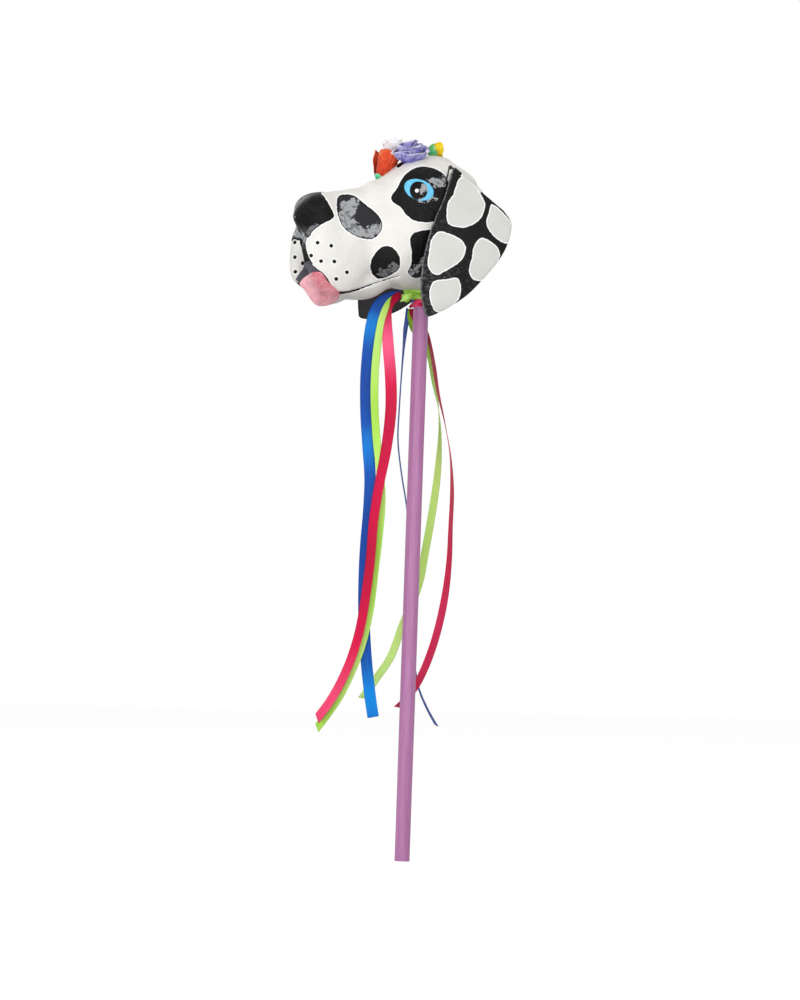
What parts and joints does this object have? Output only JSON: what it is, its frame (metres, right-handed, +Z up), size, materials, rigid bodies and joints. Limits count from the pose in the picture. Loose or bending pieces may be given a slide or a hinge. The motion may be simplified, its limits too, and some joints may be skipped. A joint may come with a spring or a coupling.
{
  "type": "animal head ribbon wand",
  "caption": "Spotted dog's head of papier-mache on a painted dowel, with flap ears, a crown of paper roses and satin ribbons tied under the head.",
  "frame": {"origin": "centre of the dowel's lower end", "axes": "+Z up the dowel towards the head, -Y the way the dog looks, +X the dog's left"},
  "size_m": [0.1562, 0.1796, 0.6023],
  "materials": {
    "painted_dowel": "mauve-purple emulsion brushed on a round birch dowel, satin",
    "painted_paper_shell": "papier-mache painted off-white with black patches, glossy varnish",
    "bare_paper": "bare glued paper, matt",
    "bare_card": "bare brown card, matt",
    "painted_tongue": "papier-mache painted pink, satin varnish",
    "painted_ear_card": "card covered in paper, painted black with white spots outside and plain dark grey inside",
    "hinge_wire": "soft steel craft wire",
    "orange_crepe": "orange-red crepe paper, matt",
    "lavender_crepe": "lavender crepe paper, matt",
    "white_crepe": "white crepe paper, matt",
    "yellow_crepe": "yellow crepe paper, matt",
    "green_stem": "green paper wound on thin wire",
    "lime_stem": "yellow-green paper wound on thin wire",
    "blue_satin": "royal blue satin ribbon",
    "lime_satin": "lime green satin ribbon",
    "pink_satin": "deep pink satin ribbon"
  },
  "bodies": {
    "wand": {"stick": "painted_dowel", "head_left_shell": "painted_paper_shell", "head_right_shell": "painted_paper_shell", "seam_strip": "bare_paper", "card_tube": "bare_card", "neck_collar": "bare_card", "crown_block": "bare_card", "tongue": "painted_tongue", "left_ear_wire": "hinge_wire", "right_ear_wire": "hinge_wire", "orange_rosebud": "orange_crepe", "orange_stem": "green_stem", "lavender_rose": "lavender_crepe", "lavender_stem": "green_stem", "white_rose": "white_crepe", "white_stem": "green_stem", "yellow_bud": "yellow_crepe", "yellow_stem": "lime_stem", "blue_tie": "blue_satin", "lime_tie": "lime_satin", "pink_tie": "pink_satin"},
    "left_ear": {"left_ear": "painted_ear_card"},
    "right_ear": {"right_ear": "painted_ear_card"},
    "blue_front_tail": {"blue_ribbon_front": "blue_satin"},
    "blue_back_tail": {"blue_ribbon_back": "blue_satin"},
    "lime_front_tail": {"lime_ribbon_front": "lime_satin"},
    "lime_back_tail": {"lime_ribbon_back": "lime_satin"},
    "pink_front_tail": {"pink_ribbon_front": "pink_satin"},
    "pink_back_tail": {"pink_ribbon_back": "pink_satin"}
  },
  "joints": [
    {"name": "left_ear_hinge", "type": "hinge", "parent": "wand", "child": "left_ear", "pos_m": [0.04, 0.00812, 0.57479], "axis": [-0.0696, -0.7956, 0.6018], "range_deg": [0, 75]},
    {"name": "right_ear_hinge", "type": "hinge", "parent": "wand", "child": "right_ear", "pos_m": [-0.04, 0.00812, 0.57479], "axis": [-0.0696, 0.7956, -0.6018], "range_deg": [0, 75]},
    {"name": "blue_front_swing", "type": "hinge", "parent": "wand", "child": "blue_front_tail", "pos_m": [0.00755, -0.01815, 0.46593], "axis": [0.9272, -0.3746, 0], "range_deg": [-10, 25]},
    {"name": "lime_front_swing", "type": "hinge", "parent": "wand", "child": "lime_front_tail", "pos_m": [0.00755, -0.01815, 0.46593], "axis": [0.9272, -0.3746, 0], "range_deg": [-10, 25]},
    {"name": "pink_front_swing", "type": "hinge", "parent": "wand", "child": "pink_front_tail", "pos_m": [0.00755, -0.01815, 0.46593], "axis": [0.9272, -0.3746, 0], "range_deg": [-10, 25]},
    {"name": "blue_back_swing", "type": "hinge", "parent": "wand", "child": "blue_back_tail", "pos_m": [-0.01454, -0.00383, 0.46193], "axis": [0.9272, -0.3746, 0], "range_deg": [-20, 20]},
    {"name": "lime_back_swing", "type": "hinge", "parent": "wand", "child": "lime_back_tail", "pos_m": [-0.01454, -0.00383, 0.46193], "axis": [0.9272, -0.3746, 0], "range_deg": [-20, 20]},
    {"name": "pink_back_swing", "type": "hinge", "parent": "wand", "child": "pink_back_tail", "pos_m": [-0.01454, -0.00383, 0.46193], "axis": [0.9272, -0.3746, 0], "range_deg": [-20, 20]}
  ]
}
